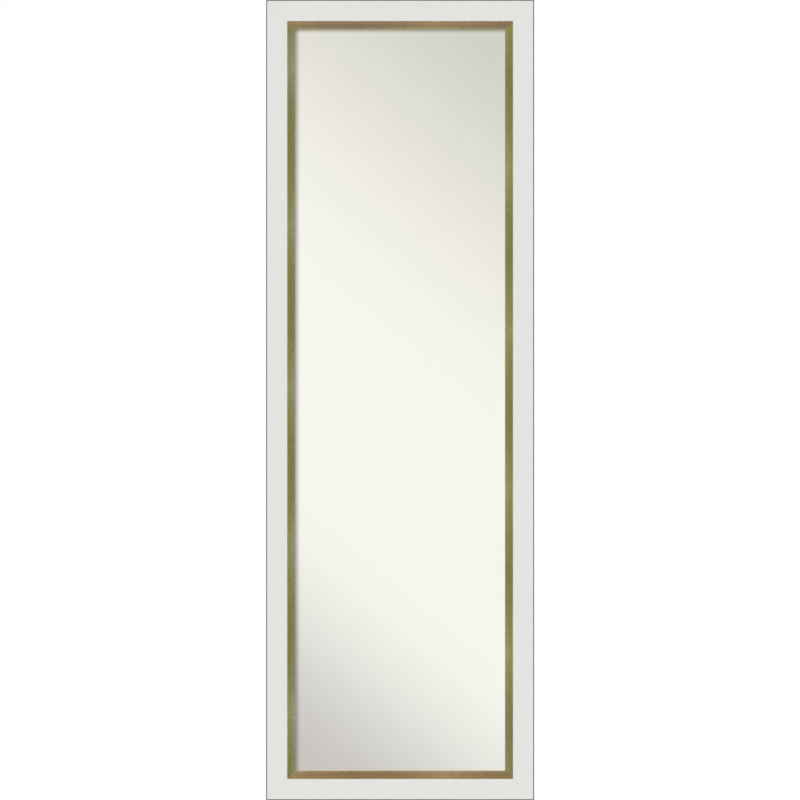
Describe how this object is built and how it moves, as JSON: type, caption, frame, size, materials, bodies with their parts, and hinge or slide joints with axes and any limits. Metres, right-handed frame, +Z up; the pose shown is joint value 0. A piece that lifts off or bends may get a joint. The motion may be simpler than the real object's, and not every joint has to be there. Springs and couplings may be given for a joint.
{
  "type": "over-the-door mirror",
  "caption": "Tall mirror in a mitred white moulding with a gilt liner, hung over a door on slotted steel hooks that slide to set its height.",
  "frame": {"origin": "middle of the door's top edge, between the hooks, on the door face that the mirror hangs against", "axes": "+Z up, the mirror faces -Y and +Y runs through the door, +X to the right as the mirror is seen from the front"},
  "size_m": [0.435, 0.0681, 1.299],
  "materials": {
    "white_paint": "satin white paint, black sides",
    "gilt": "satin antique gold leaf",
    "mirror": "silvered, polished",
    "hardboard": "matte",
    "bright_steel": "zinc plated",
    "zinc_strap": "zinc plated, satin",
    "bumper_rubber": "matte",
    "foam": "matte closed-cell foam"
  },
  "bodies": {
    "frame": {"rail_top": "white_paint", "rail_bottom": "white_paint", "stile_left": "white_paint", "stile_right": "white_paint", "liner_top": "gilt", "liner_bottom": "gilt", "liner_left": "gilt", "liner_right": "gilt", "mirror_glass": "mirror", "backing_board": "hardboard", "glazing_points": "bright_steel", "corner_v_nails": "bright_steel", "bumper_top_left": "bumper_rubber", "bumper_top_right": "bumper_rubber", "bumper_bottom_left": "bumper_rubber", "bumper_bottom_right": "bumper_rubber", "hook_screws_left": "bright_steel", "hook_screws_right": "bright_steel"},
    "hook_left": {"hook_left": "zinc_strap", "top_pad_left": "foam", "rear_pad_left": "foam"},
    "hook_right": {"hook_right": "zinc_strap", "top_pad_right": "foam", "rear_pad_right": "foam"}
  },
  "joints": [
    {"name": "hook_left_slide", "type": "slide", "parent": "frame", "child": "hook_left", "axis": [0, 0, 1], "range_m": [0, 0.1]},
    {"name": "hook_right_slide", "type": "slide", "parent": "frame", "child": "hook_right", "axis": [0, 0, 1], "range_m": [0, 0.1]}
  ]
}
